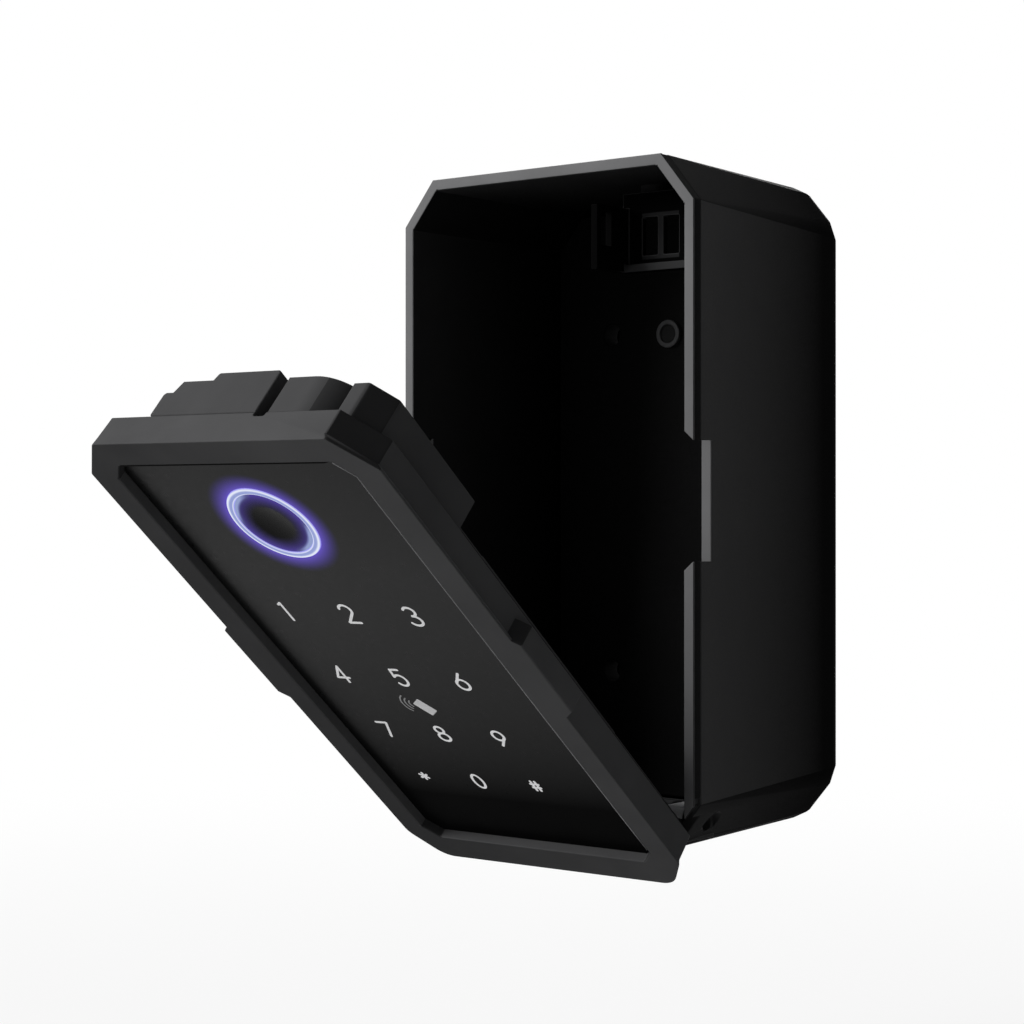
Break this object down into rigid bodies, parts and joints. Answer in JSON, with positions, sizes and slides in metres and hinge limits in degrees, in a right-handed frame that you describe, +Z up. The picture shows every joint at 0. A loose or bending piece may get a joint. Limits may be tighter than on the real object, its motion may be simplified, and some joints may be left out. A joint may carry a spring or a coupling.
{
  "type": "smart key lockbox",
  "caption": "Wall-mounted key lockbox: deep octagonal case with a drop-down door that holds a lit fingerprint ring, touch keypad, motor latch and battery bay.",
  "frame": {"origin": "centre of the wall face of the case", "axes": "+Z up, +Y into the wall, +X to the right as seen from the front"},
  "size_m": [0.071, 0.145, 0.1366],
  "materials": {
    "case_plastic": "fine texture",
    "rubber_black": "matte",
    "liner_plastic": "fine texture",
    "dark_steel": "satin",
    "steel": "brushed",
    "nylon": "smooth",
    "door_plastic": "fine texture",
    "panel_black": "gloss",
    "tape": "matte",
    "sensor_black": "satin",
    "light_guide": "lit",
    "board": "solder mask",
    "motor_metal": "satin",
    "brass": "machined",
    "cell_wrap": "printed wrap"
  },
  "bodies": {
    "case": {"case_shell": "case_plastic", "rim_band": "rubber_black", "back_liner": "liner_plastic", "hole_plug": "rubber_black", "strike_bracket": "dark_steel", "strike_screws": "steel", "hinge_pin": "steel"},
    "door": {"hinge_bushes": "nylon", "door_frame": "door_plastic", "touch_panel": "panel_black", "panel_tape": "tape", "sensor_cap": "sensor_black", "ring_lens": "light_guide", "touch_board": "board", "sensor_board": "board", "rear_cover": "door_plastic", "cover_screws": "steel", "door_seal": "rubber_black", "main_board": "board", "gear_motor": "motor_metal", "motor_clamp": "dark_steel", "clamp_screws": "steel", "battery_cells": "cell_wrap", "battery_contacts": "steel"},
    "pinion": {"drive_pinion": "brass"},
    "bolt": {"latch_bolt": "steel"},
    "lid": {"battery_lid": "door_plastic"}
  },
  "joints": [
    {"name": "door_hinge", "type": "hinge", "parent": "case", "child": "door", "pos_m": [0, -0.0439, -0.0606], "axis": [1, 0, 0], "range_deg": [-49, 0]},
    {"name": "pinion_turn", "type": "hinge", "parent": "door", "child": "pinion", "pos_m": [-0.0045, -0.12731, 0.00647], "axis": [0, 0.6561, 0.7547], "range_deg": [0, 50.14]},
    {"name": "bolt_slide", "type": "slide", "parent": "door", "child": "bolt", "axis": [1, 0, 0], "range_m": [0, 0.0035]},
    {"name": "lid_slide", "type": "slide", "parent": "door", "child": "lid", "axis": [0, 0.7547, -0.6561], "range_m": [0, 0.012]}
  ],
  "couplings": [
    {"joint": "pinion_turn", "follows": "bolt_slide", "rad_per_m": 250}
  ]
}
